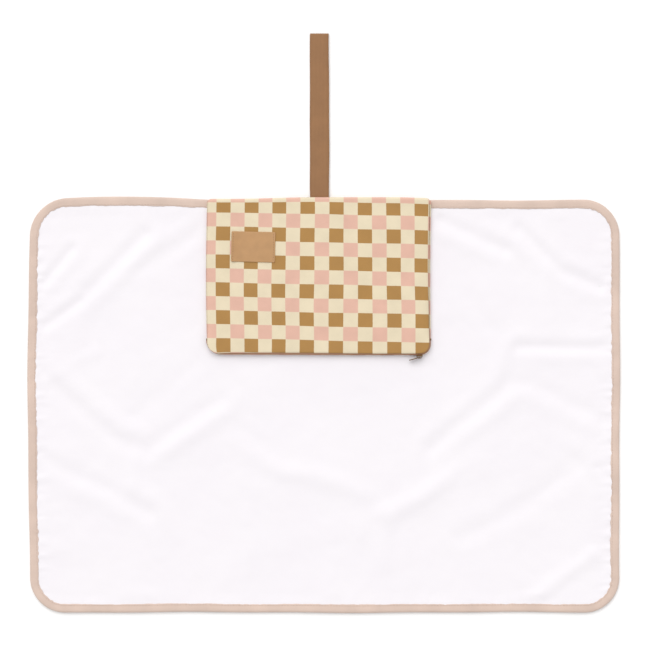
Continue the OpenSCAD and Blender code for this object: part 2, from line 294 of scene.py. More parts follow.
class Shader:
    """A material and the few node patterns that the cloths share."""

    def __init__(self, name, roughness, **values):
        self.material = bpy.data.materials.new(name)
        self.material.use_nodes = True
        self.tree = self.material.node_tree
        self.shader = self.tree.nodes["Principled BSDF"]
        self.shader.inputs["Roughness"].default_value = roughness
        for key, value in values.items():
            self.shader.inputs[key.replace("_", " ")].default_value = value

    def node(self, kind, **inputs):
        made = self.tree.nodes.new(kind)
        for key, value in inputs.items():
            self.put(made.inputs[key.replace("_", " ")], value)
        return made

    def put(self, socket, value):
        if isinstance(value, bpy.types.NodeSocket):
            self.tree.links.new(value, socket)
        else:
            socket.default_value = value

    def math(self, operation, a, b=0.0, clamp=False):
        made = self.tree.nodes.new("ShaderNodeMath")
        made.operation = operation
        made.use_clamp = clamp
        self.put(made.inputs[0], a)
        self.put(made.inputs[1], b)
        return made.outputs[0]

    def multiply_add(self, a, b, c, clamp=False):
        out = self.math("MULTIPLY_ADD", a, b, clamp)
        out.node.inputs[2].default_value = c
        return out

    def scaled(self, plain, share):
        """The plain colour times a share from another socket."""
        grey = self.node("ShaderNodeCombineColor", Red=share, Green=share, Blue=share)
        return self.mix(1.0, plain, grey.outputs[0], "MULTIPLY")

    def mix(self, share, a, b, blend="MIX"):
        made = self.tree.nodes.new("ShaderNodeMix")
        made.data_type = "RGBA"
        made.blend_type = blend
        self.put(made.inputs[0], share)
        self.put(made.inputs[6], a)
        self.put(made.inputs[7], b)
        return made.outputs[2]

    def split(self, place):
        """The place and its first two coordinates."""
        parts = self.node("ShaderNodeSeparateXYZ", Vector=place).outputs
        return place, parts[0], parts[1]

    def cloth_place(self):
        """Place on the cloth in metres, from the UV map."""
        uv = self.node("ShaderNodeUVMap")
        uv.uv_map = "cloth"
        return self.split(uv.outputs[0])

    def object_place(self):
        """Place on the piece in metres, from its own coordinates."""
        return self.split(self.node("ShaderNodeTexCoord").outputs["Object"])

    def wave(self, coordinate, length):
        """Sine wave of that length along a coordinate."""
        return self.math("SINE", self.math("MULTIPLY", coordinate, 2 * math.pi / length))

    def noise(self, place, size, detail=2.0):
        """Noise from 0 to 1 with features of about that many metres."""
        made = self.node("ShaderNodeTexNoise", Vector=place, Scale=1 / size, Detail=detail)
        return made.outputs[0]

    def weave(self, u, v, pitch):
        """Over-and-under height of a plain weave with that thread pitch."""
        return self.math("MULTIPLY", self.wave(u, 2 * pitch), self.wave(v, 2 * pitch))

    def bump(self, height, distance, strength=1.0):
        made = self.node("ShaderNodeBump", Strength=strength, Distance=distance, Height=height)
        self.tree.links.new(made.outputs[0], self.shader.inputs["Normal"])

    def base(self, value):
        self.put(self.shader.inputs["Base Color"], value)
        return self.material


def vary(s, place, plain, size, dark=0.93, light=1.05):
    """The plain colour, slightly darker and lighter in soft patches."""
    ramp = s.node("ShaderNodeMapRange", Value=s.noise(place, size), From_Min=0.3, From_Max=0.7,
                  To_Min=dark, To_Max=light)
    return s.scaled(plain, ramp.outputs[0])


def white_cloth():
    """Close white cloth with a soft, slightly uneven surface."""
    s = Shader("white_cloth", 0.5, Sheen_Weight=0.12, Sheen_Roughness=0.5)
    place, u, v = s.cloth_place()
    tint = s.mix(s.noise(place, 0.11), colour(246, 241, 246), colour(250, 246, 249))
    threads = s.math("MULTIPLY", s.weave(u, v, 0.55 * MM), 0.4)
    height = s.math("ADD", threads, s.noise(place, 7 * MM, 3.0))
    s.bump(height, 0.16 * MM, 0.55)
    return s.base(tint)


def plain_weave(name, rgb, pitch, roughness=0.8, lines=0.35, own=False):
    """Plain woven cloth with painted shade in the weave's dips: the colour is darker where the threads dip
    under, and lines is the share of that darkening. own takes the piece's own coordinates.
    """
    s = Shader(name, roughness, Sheen_Weight=0.18, Sheen_Roughness=0.6)
    place, u, v = s.object_place() if own else s.cloth_place()
    weave = s.weave(u, v, pitch)
    shade = s.multiply_add(weave, 0.5, 0.5)
    # painted shade: the colour goes darker where the weave's threads dip under, following the bump's height
    threads = s.mix(shade, tuple(c * (1 - lines * 0.3) for c in rgb[:3]) + (1,), rgb)
    s.bump(s.math("ADD", weave, s.noise(place, 3 * MM, 3.0)), 0.12 * MM, 0.6)
    return s.base(vary(s, place, threads, 0.03))


CHECK_U = 16.74 * MM
CHECK_V = 16.6 * MM


def check_cloth():
    """Squares of brown on even columns and rows, pink on odd ones, and cream between, with painted shade in
    the weave's dips.
    """
    s = Shader("check_cloth", 0.75, Sheen_Weight=0.1, Sheen_Roughness=0.5)
    place, u, v = s.cloth_place()
    ragged = s.math("MULTIPLY", s.math("SUBTRACT", s.noise(place, 1.2 * MM, 2.0), 0.5), 0.5 * MM)
    sharpness = 14.0

    def even(coordinate, size):
        """1 on every second square along the coordinate and 0 between."""
        return s.multiply_add(s.wave(s.math("ADD", coordinate, ragged), 2 * size), sharpness, 0.5, True)

    column, row = even(u, CHECK_U), even(v, CHECK_V)
    brown = s.math("MULTIPLY", column, row)
    pink = s.math("MULTIPLY", s.math("SUBTRACT", 1.0, column), s.math("SUBTRACT", 1.0, row))
    cream = colour(236, 221, 190)
    print_colour = s.mix(pink, cream, colour(231, 185, 165))
    print_colour = s.mix(brown, print_colour, colour(178, 133, 70))
    weave = s.weave(u, v, 0.6 * MM)
    # painted shade: the print a little darker where the weave's threads dip under, following the bump's
    # height
    print_colour = s.scaled(print_colour, s.multiply_add(weave, 0.035, 0.98))
    s.bump(s.math("ADD", weave, s.noise(place, 4 * MM, 3.0)), 0.12 * MM, 0.5)
    return s.base(vary(s, place, print_colour, 0.02, 0.96, 1.03))


def leather():
    """Smooth matt leather with fine pores."""
    s = Shader("leather", 0.55)
    place, _, _ = s.object_place()
    pores = s.node("ShaderNodeTexVoronoi", Vector=place, Scale=1 / (0.9 * MM))
    height = s.math("ADD", pores.outputs[0], s.math("MULTIPLY", s.noise(place, 3 * MM, 4.0), 0.8))
    s.bump(height, 0.1 * MM, 0.4)
    return s.base(vary(s, place, colour(191, 146, 98), 0.012, 0.93, 1.04))


def elastic():
    """Ribbed elastic: fine ribs across and cords along, with painted shade darkening the grooves and painted
    light on the ribs' tops.
    """
    s = Shader("elastic", 0.7, Sheen_Weight=0.15)
    place, u, v = s.cloth_place()
    height = s.math("ADD", s.wave(v, 1.1 * MM), s.math("MULTIPLY", s.wave(u, 1.6 * MM), 0.6))
    s.bump(height, 0.1 * MM, 0.7)
    # painted shade and light: darker colour in the grooves, lighter on the ribs' tops, from the bump's height
    threads = s.mix(s.multiply_add(height, 0.3, 0.5, True), colour(144, 101, 62), colour(164, 119, 77))
    return s.base(vary(s, place, threads, 0.02, 0.94, 1.05))


def bronze():
    """Antique bronze, brighter where it is worn."""
    s = Shader("bronze", 0.38, Metallic=0.85)
    place, _, _ = s.object_place()
    worn = s.mix(s.noise(place, 1.5 * MM, 4.0), colour(84, 62, 42), colour(150, 118, 78))
    s.bump(s.noise(place, 0.8 * MM, 3.0), 0.05 * MM, 0.3)
    return s.base(worn)


def nylon():
    """Satin nylon of the zip's coils."""
    s = Shader("zip_coil", 0.4)
    place, _, _ = s.object_place()
    return s.base(vary(s, place, colour(188, 134, 104), 0.01, 0.85, 1.1))


def fibre():
    """Fluffy wadding."""
    s = Shader("wadding", 0.95)
    place, _, _ = s.object_place()
    s.bump(s.noise(place, 2 * MM, 5.0), 0.5 * MM, 0.8)
    return s.base(vary(s, place, colour(245, 245, 245), 0.01))


def thread(name, rgb):
    """Twisted sewing thread."""
    s = Shader(name, 0.6, Sheen_Weight=0.2)
    place, u, v = s.object_place()
    s.bump(s.wave(s.math("ADD", u, v), 0.5 * MM), 0.05 * MM, 0.5)
    return s.base(vary(s, place, rgb, 0.004))


WHITE = white_cloth()
CHECK = check_cloth()
BINDING = plain_weave("binding", colour(228, 203, 188), 0.5 * MM)
LINING = plain_weave("lining", colour(238, 230, 212), 0.5 * MM)
TAPE = plain_weave("zip_tape", colour(186, 140, 108), 0.4 * MM, own=True)
LEATHER = leather()
ELASTIC = elastic()
BRONZE = bronze()
NYLON = nylon()
FIBRE = fibre()
BINDING_THREAD = thread("binding_thread", colour(214, 186, 170))
LABEL_THREAD = thread("label_thread", colour(150, 112, 76))


# ---- The mat's creased surface ----

# Soft creases: places as shares of the mat's half width and half length, then height and breadth in mm
CREASES = [
    ([(-0.97, 0.17), (-0.70, -0.17), (-0.60, -0.20), (-0.36, 0.02)], -1.4, 12),
    ([(-0.65, -0.05), (-0.43, 0.22)], -0.9, 12),
    ([(-0.98, -0.24), (-0.60, -0.51)], -1.6, 12),
    ([(-0.98, 0.56), (-0.86, 0.76)], -1.7, 7),
    ([(-0.97, 0.37), (-0.83, 0.51)], -1.6, 7),
    ([(-0.80, 0.56), (-0.61, 0.83)], -2.1, 10),
    ([(-0.63, 0.66), (-0.43, 0.85)], -1.1, 11),
    ([(-0.98, 0.10), (-0.78, 0.26)], 0.7, 9),
    ([(0.36, -0.20), (0.62, 0.10), (0.70, 0.10), (0.95, -0.07)], -1.6, 13),
    ([(0.22, -0.52), (0.52, -0.28)], 1.2, 18),
    ([(0.46, -0.64), (0.70, -0.46), (0.86, -0.28)], -1.6, 13),
    ([(0.66, 0.29), (0.98, 0.28)], -1.8, 8),
    ([(0.39, 0.90), (0.61, 0.76)], -2.1, 10),
    ([(0.66, 0.86), (0.80, 0.66), (0.93, 0.58)], -2.0, 9),
    ([(0.50, 0.52), (0.56, 0.38)], -1.0, 12),
    ([(0.70, -0.94), (0.91, -0.72)], 1.1, 9),
    ([(0.93, -0.30), (0.99, -0.36)], -0.9, 6),
    ([(-0.30, -0.72), (0.10, -0.60)], 0.7, 18),
]


def crease_height(x, y):
    """Height of the soft creases and of the broad swell of the padding."""
    total = np.zeros(np.shape(x))
    for points, height, breadth in CREASES:
        nearest = np.full(np.shape(x), 1e9)
        for (ax, ay), (bx, by) in zip(points, points[1:]):
            a = np.array([ax * HALF_W, ay * HALF_L])
            ab = np.array([bx * HALF_W, by * HALF_L]) - a
            t = np.clip(((x - a[0]) * ab[0] + (y - a[1]) * ab[1]) / (ab @ ab), 0, 1)
            nearest = np.minimum(nearest, np.hypot(x - a[0] - t * ab[0], y - a[1] - t * ab[1]))
        total += height * MM * np.exp(-((nearest / (breadth * MM)) ** 2))
    total += 0.55 * MM * wave_noise(x, y, 0.07, 1) + 0.3 * MM * wave_noise(x, y, 0.03, 2)
    return total


def under_pouch(x, y):
    """1 under the pouch, falling to 0 a little way outside it."""
    margin = 14 * MM
    across = np.minimum(x - POUCH_LO[0], POUCH_HI[0] - x)
    inside = np.minimum(across, y - POUCH_LO[1])
    return smooth((inside + margin) / margin)


def edge_gap(x, y):
    """Distance in from the mat's edge, on the rectangle before its corners are rounded."""
    return np.minimum(HALF_W - np.abs(x), HALF_L - np.abs(y))


def mat_grid(inset, pitch):
    """A rectangle's grid through every cut and bend line, and the same places with rounded corners."""
    w, l, r = HALF_W - inset, HALF_L - inset, CORNER_R - inset
    xs = grid_lines([-w, -w + r, FLAP_L, CUT_L, CUT_R, FLAP_R, w - r, w], pitch)
    ys = grid_lines([-l, -l + r, l - r, l], pitch)
    gx, gy = np.meshgrid(xs, ys)
    x, y = uneven(*round_corners(gx, gy, w, l, r))
    return xs, gx, gy, x, y


def softened(values, axis):
    """Each value averaged with its two neighbours along axis, as the wadding evens out the cloth on it."""
    v = np.moveaxis(values, axis, 0)
    padded = np.concatenate([v[:1], v, v[-1:]])
    return np.moveaxis((padded[:-2] + 2 * v + padded[2:]) / 4, 0, axis)


CLOTH_SETTINGS = {
    "quality": 6, "mass": 0.25, "tension_stiffness": 15, "compression_stiffness": 15, "shear_stiffness": 5,
    "bending_stiffness": 14, "vertex_group_mass": "held", "shrink_min": -0.003,
}
SETTLE_FRAMES = 20
SETTLE_CAP = 4 * MM
SETTLED = 0.6  # share of the simulated movement that the wadding lets through


def settle(points, held, floor_z):
    """Lets a slack sheet settle on the wadding with Blender's cloth, and returns its places."""
    rows, cols = points.shape[:2]
    index = np.arange(rows * cols).reshape(rows, cols)
    faces = np.stack([index[:-1, :-1], index[:-1, 1:], index[1:, 1:], index[1:, :-1]], -1).reshape(-1, 4)
    mesh = bpy.data.meshes.new("settling")
    mesh.from_pydata([tuple(p) for p in points.reshape(-1, 3)], [], [tuple(f) for f in faces])
    sheet = bpy.data.objects.new("settling", mesh)
    scene = bpy.context.scene
    scene.collection.objects.link(sheet)
    group = sheet.vertex_groups.new(name="held")
    for i, weight in enumerate(held.ravel()):
        if weight > 0.01:
            group.add([i], float(weight), "REPLACE")
    bpy.ops.mesh.primitive_plane_add(size=2, location=(0, 0, floor_z))
    table = bpy.context.object
    table.modifiers.new("Collision", "COLLISION")
    table.collision.thickness_outer = 0.2 * MM
    cloth = sheet.modifiers.new("Cloth", "CLOTH")
    for key, value in CLOTH_SETTINGS.items():
        setattr(cloth.settings, key, value)
    cloth.settings.effector_weights.gravity = 0.3
    cloth.collision_settings.distance_min = 0.2 * MM
    for number in range(1, SETTLE_FRAMES + 1):
        scene.frame_set(number)
    done = sheet.evaluated_get(bpy.context.evaluated_depsgraph_get())
    out = np.array([v.co for v in done.data.vertices]).reshape(points.shape)
    scene.frame_set(1)
    for made in (sheet, table):
        bpy.data.objects.remove(made)
    moved = np.clip(out - points, -SETTLE_CAP, SETTLE_CAP)
    for axis in (0, 1, 0, 1, 0, 1):
        moved = softened(moved, axis)
    return points + SETTLED * moved * (1 - held)[..., None]


def in_bend(x):
    """True where the mat bends at one of its two folds."""
    left = (x > FLAP_L - TINY) & (x < CUT_L + TINY)
    right = (x > CUT_R - TINY) & (x < FLAP_R + TINY)
    return left | right


def denser_bends(values, axis, xs):
    """A grid with one more column between each two that lie in a fold."""
    bend = in_bend(xs)
    between = {2 * i + 1 for i in range(len(xs) - 1) if bend[i] and bend[i + 1]}
    return np.take(finer(values, axis), sorted(between | set(range(0, 2 * len(xs) - 1, 2))), axis)


SIM_PITCH = 5 * MM
SIM_FLOOR_Z = CLOTH_Z - 2.6 * MM
TOP_INSET = 0.8 * MM


def top_surface():
    """Grid of the top cloth: creased, settled by simulation, then puckered along the binding."""
    xs, gx, gy, x, y = mat_grid(TOP_INSET, SIM_PITCH)
    free = smooth((edge_gap(gx, gy) - LAP) / (12 * MM))
    free_of_pouch = 1 - 0.92 * under_pouch(x, y)
    lift = crease_height(x, y) * free * free_of_pouch
    points = np.dstack([x, y, CLOTH_MIDDLE_Z + lift])
    points = settle(points, np.maximum(1 - free, 0.9 * under_pouch(x, y)), SIM_FLOOR_Z)
    points, grid = finer(finer(points, 0), 1), finer(finer(np.dstack([gx, gy]), 0), 1)
    xs = finer(xs, 0)
    points, grid, xs = denser_bends(points, 1, xs), denser_bends(grid, 1, xs), denser_bends(xs, 0, xs)
    gx, gy = grid[..., 0], grid[..., 1]
    side = HALF_W - np.abs(gx)
    end = HALF_L - np.abs(gy)
    near_side = np.exp(-np.clip(side - LAP, 0, 1) / (9 * MM))
    near_end = np.exp(-np.clip(end - LAP, 0, 1) / (6 * MM))
    pucker_side = wave_noise(gx / 4, gy, 4.5 * MM, 5) * near_side
    pucker_end = wave_noise(gx, gy / 4, 5.5 * MM, 6) * near_end
    calm = 1 - under_pouch(gx, gy)
    outside_lap = smooth((np.minimum(side, end) - LAP + 2 * MM) / (3 * MM))
    points[..., 2] += (0.55 * pucker_side + 0.3 * pucker_end) * MM * calm * outside_lap
    points[..., 2] += 0.10 * MM * wave_noise(gx, gy, 12 * MM, 8) * outside_lap
    return xs, points, grid


def columns(xs, low, high):
    """The grid's columns from low to high, both included."""
    return np.arange(np.searchsorted(xs, low - TINY), np.searchsorted(xs, high + TINY))


PARTS = {"left": (-HALF_W, CUT_L), "centre": (CUT_L, CUT_R), "right": (CUT_R, HALF_W)}


def carry(piece, part):
    """Rides the middle on its body, and bakes a flap's piece in place where it lies."""
    if part == "centre":
        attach(piece, "mat_centre")
    elif part == "left":
        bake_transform(piece)
    else:
        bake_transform(piece)


BACK_HALF_T = 0.2 * MM


def mat_layers():
    """Top cloth, wadding and back cloth of the middle and of both flaps."""
    xs, top, grid = top_surface()
    normal = surface_normals(top)
    upper = top + normal * CLOTH_T / 2
    lower = top - normal * CLOTH_T / 2
    under = top.copy()
    under[..., 2] = 0.3 * MM + 0.45 * np.clip(top[..., 2] - CLOTH_MIDDLE_Z, 0, 1)
    under_gap = edge_gap(grid[..., 0], grid[..., 1])
    under[..., 2] += 0.5 * MM * (1 - smooth((under_gap - LAP) / (2 * MM)))
    under_normal = surface_normals(under)
    for part, (low, high) in PARTS.items():
        cut = columns(xs, low, high)
        coarse = np.unique(np.append(cut[::2], cut[-1]))
        cloth = shell("mat_top_cloth_" + part + "_piece", upper[:, cut], lower[:, cut], WHITE,
                      grid[:, cut], normal[:, cut])
        filling = shell("mat_wadding_" + part + "_piece", lower[::4, coarse] - (0, 0, 0.1 * MM),
                        under[::4, coarse] + (0, 0, 0.35 * MM), FIBRE, grid[::4, coarse])
        back = shell("mat_back_cloth_" + part + "_piece", under[:, cut] + (0, 0, BACK_HALF_T),
                     under[:, cut] - (0, 0, BACK_HALF_T), CHECK, grid[:, cut], under_normal[:, cut])
        for piece in (cloth, filling, back):
            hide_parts(piece.name.removesuffix("_piece"))
            carry(piece, part)


mat_layers()


# ---- The binding ----

STRAIGHT_X = 2 * (HALF_W - CORNER_R)
STRAIGHT_Y = 2 * (HALF_L - CORNER_R)
CORNER = (CORNER_R * math.pi / 2, CORNER_R)
EDGE = [(STRAIGHT_X / 2, 0), CORNER, (STRAIGHT_Y, 0), CORNER, (STRAIGHT_X, 0), CORNER,
        (STRAIGHT_Y, 0), CORNER, (STRAIGHT_X / 2, 0)]
EDGE_LENGTH = sum(length for length, _ in EDGE)


def outline_place(x, y, heading, pieces, s):
    """Place and outward direction, s metres along an outline from x, y. Its pieces are (length, radius), with
    radius 0 for a straight one, and its bends turn left."""
    for length, r in pieces:
        step = min(s, length)
        c, d = math.cos(heading), math.sin(heading)
        if r:
            heading += step / r
            x += r * (math.sin(heading) - d)
            y -= r * (math.cos(heading) - c)
        else:
            x += step * c
            y += step * d
        s -= step
        if s <= 0:
            break
    return (x, y), (math.sin(heading), -math.cos(heading))


def edge_place(s):
    """Place on the mat's edge and the direction outward, s metres along it leftward from the top's middle."""
    return outline_place(0, HALF_L, math.pi, EDGE, s % EDGE_LENGTH)


def binding_stretches():
    """The edge's four stretches: name, part, first and last place along it."""
    half = EDGE_LENGTH / 2
    return [
        ("binding_left", "left", -CUT_L, half + CUT_L),
        ("binding_bottom_centre", "centre", half + CUT_L, half + CUT_R),
        ("binding_right", "right", half + CUT_R, EDGE_LENGTH - CUT_R),
        ("binding_top_centre", "centre", -CUT_R, -CUT_L),
    ]


TAPE_T = 0.5 * MM
BINDING_STEP = 2.2 * MM


def tape_waves(x, y):
    """Short puckers and slow waves of the folded tape at one place."""
    return float(wave_noise(x, y, 4.2 * MM, 11)), float(wave_noise(x, y, 26 * MM, 12))


def binding_section(x, y):
    """Closed outline of the folded tape at one place: distance in from the edge, and height."""
    pucker, slow = tape_waves(x, y)
    on_side = abs(x) > HALF_W - CORNER_R
    lap = LAP + ((0.75 if on_side else 0.35) * pucker + 0.35 * slow) * MM
    calm = 1 - float(under_pouch(x, y))
    z1 = BOUND_Z + (0.25 + 0.2 * slow) * MM * calm - 0.05 * MM
    pinch = 0.22 * pucker * MM * calm
    outer = [
        (lap, 0.03 * MM), (0.55 * lap, 0.0), (2.2 * MM, 0.0), (0.9 * MM, 0.25 * MM), (0.2 * MM, 1.0 * MM),
        (-0.1 * MM, 0.5 * z1), (0.2 * MM, z1 - 1.1 * MM), (1.0 * MM, z1 - 0.3 * MM), (2.4 * MM, z1),
        (0.4 * lap, z1 + 0.1 * MM + pinch * 0.4), (0.62 * lap, z1 + pinch * 0.7),
        (0.80 * lap, z1 - 0.25 * MM + pinch), (0.93 * lap, z1 - 0.2 * MM + pinch),
        (lap, z1 - 0.42 * MM + pinch * 0.6),
    ]
    inner = [
        (lap - 0.1 * MM, z1 - 0.42 * MM - TAPE_T), (0.6 * lap, z1 - TAPE_T), (2.4 * MM, z1 - TAPE_T),
        (0.9 * MM, 0.5 * z1), (2.4 * MM, TAPE_T), (0.6 * lap, TAPE_T), (lap - 0.1 * MM, 0.03 * MM + TAPE_T),
    ]
    return outer + inner


def edge_point(s, inward, z):
    """A place at distance inward from the edge, with the edge's unevenness."""
    (px, py), (nx, ny) = edge_place(s)
    x, y = uneven(px - nx * inward, py - ny * inward)
    return (float(x), float(y), z)


def binding():
    """Folded binding in four stretches, and the line of stitches that holds it."""
    for name, part, first, last in binding_stretches():
        count = round((last - first) / BINDING_STEP)
        shares = np.linspace(0, 1, count + 1)
        bend = [in_bend(edge_place(first + (last - first) * share)[0][0]) for share in shares]
        between = [shares[k] + (shares[k + 1] - shares[k]) * part_way for k in range(count)
                   if bend[k] or bend[k + 1] for part_way in (0.33, 0.67)]
        rings, uvs = [], []
        for share in sorted([*shares, *between]):
            s = first + (last - first) * share
            section = binding_section(*edge_place(s)[0])
            rings.append([edge_point(s, d, z) for d, z in section])
            uvs.append([(s, 0.7 * d + z) for d, z in section])
        piece = sweep(name + "_piece", np.array(rings), BINDING, np.array(uvs))
        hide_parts(name)
        carry(piece, part)
        stitches(name, part, first, last)


def stitches(name, part, first, last):
    """Short stitches near the tape's inner edge, on the top and on the underside."""
    pitch, length, width = 3.4 * MM, 2.5 * MM, 0.42 * MM
    verts, faces = [], []
    for k in range(int((last - first) / pitch)):
        s = first + (k + 0.5) * pitch
        pucker, slow = tape_waves(*edge_place(s)[0])
        z1 = BOUND_Z + (0.25 + 0.2 * slow) * MM - 0.2 * MM + 0.2 * pucker * MM
        for z, rise in ((z1, 0.22 * MM), (0.06 * MM, -0.05 * MM)):
            faces += stitch_faces(len(verts))
            heights = (-0.1 * MM, 0, rise)
            verts += [edge_point(s + e * length / 2, LAP * 0.84 + w * width / 2, z + heights[h])
                      for e, w, h in STITCH]
    carry(mesh_object(name + "_stitches", verts, faces, BINDING_THREAD), part)


binding()


# ---- The pouch ----

POUCH_W = POUCH_HI[0] - POUCH_LO[0]
POUCH_X = (POUCH_HI[0] + POUCH_LO[0]) / 2
POUCH_L = POUCH_HI[1] - POUCH_LO[1]
MOUTH_RISE = 2.05 * MM  # half of the gap between the two cloths at the zip
SEAM_RISE = 0.12 * MM  # the same at the sewn sides
FIRST_COLUMN = POUCH_LO[0] + 11.0 * MM
FIRST_ROW = POUCH_HI[1] - 50.8 * MM
ROW_SLOPE = 0.018
SOFT_ROLL = 17 * MM
PANEL_PITCH = 3 * MM
ROLL_TURNS = 14


def pouch_grid(grow, rolled):
    """Grid over the pouch with its two rounded corners: flat rectangle places, and rounded places."""
    x0, x1 = POUCH_LO[0] - grow, POUCH_HI[0] + grow
    y0, y1 = POUCH_LO[1] - grow, POUCH_HI[1]
    r0, r1 = START_R + grow, END_R + grow
    fine = [0.6 * MM, 1.4 * MM, 2.6 * MM, 4.5 * MM]
    xs = fine_ends(x0, x1, fine, [x0 + r0, x1 - r1], PANEL_PITCH)
    ys = grid_lines([y0, *(y0 + f for f in fine), y0 + r1, y0 + r0, y1], PANEL_PITCH)
    if rolled:
        ys = np.concatenate([ys, y1 + ROLL_R * math.pi * np.arange(1, ROLL_TURNS + 1) / ROLL_TURNS])
    gx, gy = np.meshgrid(xs, ys)
    x, y = gx.copy(), gy.copy()
    for sign, edge, r in ((-1, x0, r0), (1, x1, r1)):
        a = np.clip(sign * (gx - edge) / r + 1, 0, 1)
        b = np.clip((y0 + r - gy) / r, 0, 1)
        here = a > 0
        x = np.where(here, edge + sign * (a * np.sqrt(1 - b**2 / 2) - 1) * r, x)
        y = np.where(here & (b > 0), y0 + r - b * np.sqrt(1 - a**2 / 2) * r, y)
    return gx, gy, x, y


def rounded(distance, radius):
    """0 at the rim, rising as a quarter circle to 1 at that radius."""
    t = np.clip(distance / radius, 0, 1)
    return np.sqrt(np.clip(1 - (1 - t) ** 2, 0, 1))


def pouch_crown(x, y):
    """Faint fullness and creases of the flat pouch."""
    u = np.clip(2 * (x - POUCH_X) / POUCH_W, -1, 1)
    v = np.clip((y - POUCH_LO[1]) / POUCH_L, 0, 1)
    full = (1 - u**2) * np.sin(math.pi * v) ** 0.6
    rim = smooth(np.minimum((1 - np.abs(u)) * POUCH_W / 2, (y - POUCH_LO[1])) / (10 * MM))
    sag = 0.28 * wave_noise(x, y, 0.045, 21) + 0.12 * wave_noise(x, y, 0.017, 22)
    return (0.45 * full + sag * rim * smooth((1 - v) * 9)) * MM


def slack(x, y):
    """The pouch's soft outline: its long sides drift, its top slopes down at both ends, and the zip's first
    half lies a little further in."""
    v = np.clip((y - POUCH_LO[1]) / POUCH_L, 0, 1)
    left = smooth((POUCH_X - x) / (POUCH_W / 2))
    right = smooth((x - POUCH_HI[0]) / (30 * MM) + 1)
    dx = -(1.4 * left + 1.1 * right) * MM * np.sin(math.pi * v)
    dy = 0.6 * MM * smooth((POUCH_X + 60 * MM - x) / (POUCH_W / 2 + 60 * MM)) * (1 - v) ** 2
    low_left = 2.0 * smooth((POUCH_X - x) / (0.4 * POUCH_W))
    low_right = 1.0 * smooth((x - POUCH_HI[0]) / (40 * MM) + 1)
    dy -= smooth((v - 0.93) / 0.07) * (low_left + low_right) * MM
    return x + dx, y + dy


def pouch_side(x, y, gx, gy, grow, sign):
    """Places of the pouch's front (1) or back (-1) surface, its rim drawn in to the seam and to the zip."""
    seam = smooth((gy - ZIP_END_Y) / (14 * MM))
    rim_z = POUCH_ZC + sign * (MOUTH_RISE + seam * (SEAM_RISE - MOUTH_RISE))
    across = np.minimum(gx - POUCH_LO[0] + grow, POUCH_HI[0] + grow - gx)
    q = rounded(across, (2.5 + 2.5 * seam) * MM) * rounded(gy - POUCH_LO[1] + grow, 2.6 * MM)
    crown = pouch_crown(x, y) if sign > 0 else 0.15 * MM * wave_noise(x, y, 0.05, 23)
    face_z = POUCH_ZC + sign * (ROLL_R + crown)
    z = rim_z + (face_z - rim_z) * q
    turn = np.clip((gy - POUCH_HI[1]) / ROLL_R, 0, math.pi)
    rolling = gy > POUCH_HI[1]
    roll = ROLL_R * rounded(across, 5 * MM)
    out_y = np.where(rolling, POUCH_HI[1] + roll * np.sin(turn), np.minimum(y, POUCH_HI[1]))
    out_z = np.where(rolling, POUCH_ZC + roll * np.cos(turn), z)
    if sign > 0:
        near_zip = 1 - smooth((gy - POUCH_LO[1] + grow) / (9 * MM))
        along = np.clip((gx - POUCH_LO[0]) / (0.75 * POUCH_W), 0, 1)
        corner = smooth((POUCH_LO[0] + START_R - gx) / START_R + 0.4)
        corner = corner * smooth((POUCH_LO[1] + START_R - gy) / START_R + 0.4)
        x = x - 0.9 * MM * corner
        out_y = out_y + 0.7 * MM * near_zip * np.sin(math.pi * along) - 1.1 * MM * corner
    else:
        x = x + 1.1 * MM * smooth((POUCH_LO[0] - x) / (20 * MM) + 1)
    x, out_y = slack(x, out_y)
    return np.dstack([x, out_y, out_z])


def print_place(gx, gy):
    """Place on the printed cloth: columns spread a little downward, rows slope a little, and more cloth
    lies in the roll."""
    soft = np.clip((gy - (POUCH_HI[1] - SOFT_ROLL)) / SOFT_ROLL, 0, 1)
    down = np.clip((POUCH_HI[1] - gy) / POUCH_L, 0, 1)
    drift = 0.5 * MM * wave_noise(gx, gy, 0.06, 24)
    spread = 1.9 * MM * down * smooth((gx - 20 * MM) / (70 * MM))
    spread -= (1.3 + down) * MM * np.exp(-(((gx + 35 * MM) / (45 * MM)) ** 2))
    return np.dstack([gx - FIRST_COLUMN + drift - spread,
                      gy + ROW_SLOPE * gx + 3 * MM * soft**2 - FIRST_ROW + drift])


def pouch_panel(grow, inset, thickness, sign, material, *nodes):
    """One cloth of the pouch, inset inward from its outer surface. A front one (1) goes on over the rolled
    top edge. The print of a back one (-1) starts half a square later."""
    gx, gy, x, y = pouch_grid(grow, sign > 0)
    places = pouch_side(x, y, gx, gy, grow, sign)
    normal = surface_normals(places) * sign
    upper = places - normal * inset
    lower = places - normal * (inset + thickness)
    if sign < 0:
        upper, lower = lower, upper
    place = print_place(gx + (0 if sign > 0 else CHECK_U / 2), gy)
    piece = shell(nodes[0] + "_piece", upper, lower, material, place)
    stand_in(piece, "pouch", *nodes)


def side_seam(node):
    """Turned seam allowance inside one side of the pouch."""
    lo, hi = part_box(node)
    edge, inner = (lo[0], 1) if node == "pouch_left_seam" else (hi[0], -1)
    count = 60
    centres = [(edge + inner * (3.6 + 0.3 * math.sin(k * 0.9)) * MM, lo[1] + (hi[1] - lo[1]) * k / count,
                POUCH_ZC) for k in range(count + 1)]
    rings = tube(centres, (inner, 0, 0), (0, 0, 1), (1.6 * MM, 0.7 * MM))
    stand_in(sweep(node + "_piece", rings, LINING, rings[..., :2]), "pouch", node)


ZIP_PATH = [(START_R * math.pi / 2, START_R), (POUCH_W - START_R - END_R, 0),
            (END_R * math.pi / 2, END_R), (START_R - END_R, 0)]
ZIP_LENGTH = sum(length for length, _ in ZIP_PATH)


